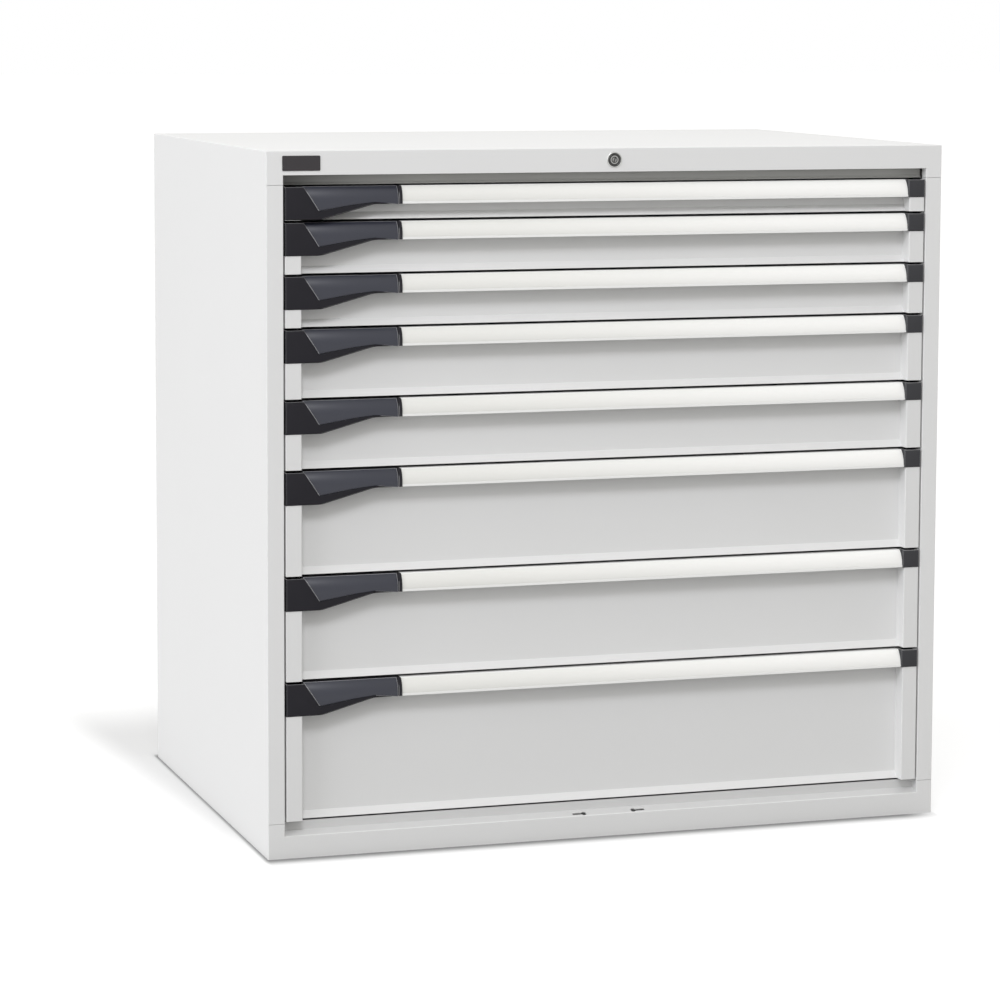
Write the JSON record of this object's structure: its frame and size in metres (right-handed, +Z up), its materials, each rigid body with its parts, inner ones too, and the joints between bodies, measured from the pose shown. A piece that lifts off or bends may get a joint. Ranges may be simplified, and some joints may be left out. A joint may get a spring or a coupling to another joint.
{
  "type": "drawer cabinet",
  "caption": "Free-standing light grey sheet steel cabinet with full-width extending drawers of several heights, full-width grips, thumb catches and a central lock.",
  "frame": {"origin": "centre of the footprint of the whole box, on the floor", "axes": "+X to the right as seen from the front, +Y towards the back, +Z up; the drawers open towards -Y"},
  "size_m": [1.023, 0.7264, 1],
  "materials": {
    "housing_paint": "light grey powder coat, satin",
    "front_paint": "light grey powder coat, satin",
    "zinc_steel": "galvanised",
    "dark_plastic": "fine grained charcoal",
    "grip_strip": "pale anodised, with a label strip under a clear cover",
    "lock_metal": "satin nickel",
    "plate_dark": "dark, blank"
  },
  "bodies": {
    "housing": {"left_side_panel": "housing_paint", "right_side_panel": "housing_paint", "top_cover": "housing_paint", "base_pan": "housing_paint", "back_panel": "housing_paint", "inner_lintel": "housing_paint", "uprights": "zinc_steel", "cabinet_rails": "zinc_steel", "name_plate": "plate_dark", "lock_housing": "lock_metal"},
    "lock": {"lock_plug": "lock_metal"},
    "lock_bar": {"lock_bar": "zinc_steel"},
    "drawer_1": {"drawer_1_tray": "front_paint", "drawer_1_front": "front_paint", "drawer_1_handle": "grip_strip", "drawer_1_end_caps": "dark_plastic"},
    "catch_1": {"drawer_1_catch": "dark_plastic"},
    "slides_1": {"drawer_1_slides": "zinc_steel"},
    "drawer_2": {"drawer_2_tray": "front_paint", "drawer_2_front": "front_paint", "drawer_2_handle": "grip_strip", "drawer_2_end_caps": "dark_plastic"},
    "catch_2": {"drawer_2_catch": "dark_plastic"},
    "slides_2": {"drawer_2_slides": "zinc_steel"},
    "drawer_3": {"drawer_3_tray": "front_paint", "drawer_3_front": "front_paint", "drawer_3_handle": "grip_strip", "drawer_3_end_caps": "dark_plastic"},
    "catch_3": {"drawer_3_catch": "dark_plastic"},
    "slides_3": {"drawer_3_slides": "zinc_steel"},
    "drawer_4": {"drawer_4_tray": "front_paint", "drawer_4_front": "front_paint", "drawer_4_handle": "grip_strip", "drawer_4_end_caps": "dark_plastic"},
    "catch_4": {"drawer_4_catch": "dark_plastic"},
    "slides_4": {"drawer_4_slides": "zinc_steel"},
    "drawer_5": {"drawer_5_tray": "front_paint", "drawer_5_front": "front_paint", "drawer_5_handle": "grip_strip", "drawer_5_end_caps": "dark_plastic"},
    "catch_5": {"drawer_5_catch": "dark_plastic"},
    "slides_5": {"drawer_5_slides": "zinc_steel"},
    "drawer_6": {"drawer_6_tray": "front_paint", "drawer_6_front": "front_paint", "drawer_6_handle": "grip_strip", "drawer_6_end_caps": "dark_plastic"},
    "catch_6": {"drawer_6_catch": "dark_plastic"},
    "slides_6": {"drawer_6_slides": "zinc_steel"},
    "drawer_7": {"drawer_7_tray": "front_paint", "drawer_7_front": "front_paint", "drawer_7_handle": "grip_strip", "drawer_7_end_caps": "dark_plastic"},
    "catch_7": {"drawer_7_catch": "dark_plastic"},
    "slides_7": {"drawer_7_slides": "zinc_steel"},
    "drawer_8": {"drawer_8_tray": "front_paint", "drawer_8_front": "front_paint", "drawer_8_handle": "grip_strip", "drawer_8_end_caps": "dark_plastic"},
    "catch_8": {"drawer_8_catch": "dark_plastic"},
    "slides_8": {"drawer_8_slides": "zinc_steel"}
  },
  "joints": [
    {"name": "drawer_1_slide", "type": "slide", "parent": "housing", "child": "drawer_1", "axis": [0, -1, 0], "range_m": [0, 0.62]},
    {"name": "slides_1_slide", "type": "slide", "parent": "housing", "child": "slides_1", "axis": [0, -1, 0], "range_m": [0, 0.31]},
    {"name": "catch_1_turn", "type": "hinge", "parent": "drawer_1", "child": "catch_1", "pos_m": [0, -0.35125, 0.9445], "axis": [1, 0, 0], "range_deg": [0, 15], "stiffness_Nm_per_rad": 0.1, "springref_deg": -20.05},
    {"name": "drawer_2_slide", "type": "slide", "parent": "housing", "child": "drawer_2", "axis": [0, -1, 0], "range_m": [0, 0.62]},
    {"name": "slides_2_slide", "type": "slide", "parent": "housing", "child": "slides_2", "axis": [0, -1, 0], "range_m": [0, 0.31]},
    {"name": "catch_2_turn", "type": "hinge", "parent": "drawer_2", "child": "catch_2", "pos_m": [0, -0.35125, 0.8945], "axis": [1, 0, 0], "range_deg": [0, 15], "stiffness_Nm_per_rad": 0.1, "springref_deg": -20.05},
    {"name": "drawer_3_slide", "type": "slide", "parent": "housing", "child": "drawer_3", "axis": [0, -1, 0], "range_m": [0, 0.62]},
    {"name": "slides_3_slide", "type": "slide", "parent": "housing", "child": "slides_3", "axis": [0, -1, 0], "range_m": [0, 0.31]},
    {"name": "catch_3_turn", "type": "hinge", "parent": "drawer_3", "child": "catch_3", "pos_m": [0, -0.35125, 0.8195], "axis": [1, 0, 0], "range_deg": [0, 15], "stiffness_Nm_per_rad": 0.1, "springref_deg": -20.05},
    {"name": "drawer_4_slide", "type": "slide", "parent": "housing", "child": "drawer_4", "axis": [0, -1, 0], "range_m": [0, 0.62]},
    {"name": "slides_4_slide", "type": "slide", "parent": "housing", "child": "slides_4", "axis": [0, -1, 0], "range_m": [0, 0.31]},
    {"name": "catch_4_turn", "type": "hinge", "parent": "drawer_4", "child": "catch_4", "pos_m": [0, -0.35125, 0.7445], "axis": [1, 0, 0], "range_deg": [0, 15], "stiffness_Nm_per_rad": 0.1, "springref_deg": -20.05},
    {"name": "drawer_5_slide", "type": "slide", "parent": "housing", "child": "drawer_5", "axis": [0, -1, 0], "range_m": [0, 0.62]},
    {"name": "slides_5_slide", "type": "slide", "parent": "housing", "child": "slides_5", "axis": [0, -1, 0], "range_m": [0, 0.31]},
    {"name": "catch_5_turn", "type": "hinge", "parent": "drawer_5", "child": "catch_5", "pos_m": [0, -0.35125, 0.6445], "axis": [1, 0, 0], "range_deg": [0, 15], "stiffness_Nm_per_rad": 0.1, "springref_deg": -20.05},
    {"name": "drawer_6_slide", "type": "slide", "parent": "housing", "child": "drawer_6", "axis": [0, -1, 0], "range_m": [0, 0.62]},
    {"name": "slides_6_slide", "type": "slide", "parent": "housing", "child": "slides_6", "axis": [0, -1, 0], "range_m": [0, 0.31]},
    {"name": "catch_6_turn", "type": "hinge", "parent": "drawer_6", "child": "catch_6", "pos_m": [0, -0.35125, 0.5445], "axis": [1, 0, 0], "range_deg": [0, 15], "stiffness_Nm_per_rad": 0.1, "springref_deg": -20.05},
    {"name": "drawer_7_slide", "type": "slide", "parent": "housing", "child": "drawer_7", "axis": [0, -1, 0], "range_m": [0, 0.62]},
    {"name": "slides_7_slide", "type": "slide", "parent": "housing", "child": "slides_7", "axis": [0, -1, 0], "range_m": [0, 0.31]},
    {"name": "catch_7_turn", "type": "hinge", "parent": "drawer_7", "child": "catch_7", "pos_m": [0, -0.35125, 0.3945], "axis": [1, 0, 0], "range_deg": [0, 15], "stiffness_Nm_per_rad": 0.1, "springref_deg": -20.05},
    {"name": "drawer_8_slide", "type": "slide", "parent": "housing", "child": "drawer_8", "axis": [0, -1, 0], "range_m": [0, 0.62]},
    {"name": "slides_8_slide", "type": "slide", "parent": "housing", "child": "slides_8", "axis": [0, -1, 0], "range_m": [0, 0.31]},
    {"name": "catch_8_turn", "type": "hinge", "parent": "drawer_8", "child": "catch_8", "pos_m": [0, -0.35125, 0.2445], "axis": [1, 0, 0], "range_deg": [0, 15], "stiffness_Nm_per_rad": 0.1, "springref_deg": -20.05},
    {"name": "lock_bar_lift", "type": "slide", "parent": "housing", "child": "lock_bar", "axis": [0, 0, 1], "range_m": [0, 0.01131]},
    {"name": "lock_turn", "type": "hinge", "parent": "housing", "child": "lock", "pos_m": [0, -0.36175, 0.983], "axis": [0, -1, 0], "range_deg": [0, 90]}
  ],
  "couplings": [
    {"joint": "slides_1_slide", "follows": "drawer_1_slide", "ratio": 0.5},
    {"joint": "slides_2_slide", "follows": "drawer_2_slide", "ratio": 0.5},
    {"joint": "slides_3_slide", "follows": "drawer_3_slide", "ratio": 0.5},
    {"joint": "slides_4_slide", "follows": "drawer_4_slide", "ratio": 0.5},
    {"joint": "slides_5_slide", "follows": "drawer_5_slide", "ratio": 0.5},
    {"joint": "slides_6_slide", "follows": "drawer_6_slide", "ratio": 0.5},
    {"joint": "slides_7_slide", "follows": "drawer_7_slide", "ratio": 0.5},
    {"joint": "slides_8_slide", "follows": "drawer_8_slide", "ratio": 0.5},
    {"joint": "lock_turn", "follows": "lock_bar_lift", "rad_per_m": 138.84}
  ]
}
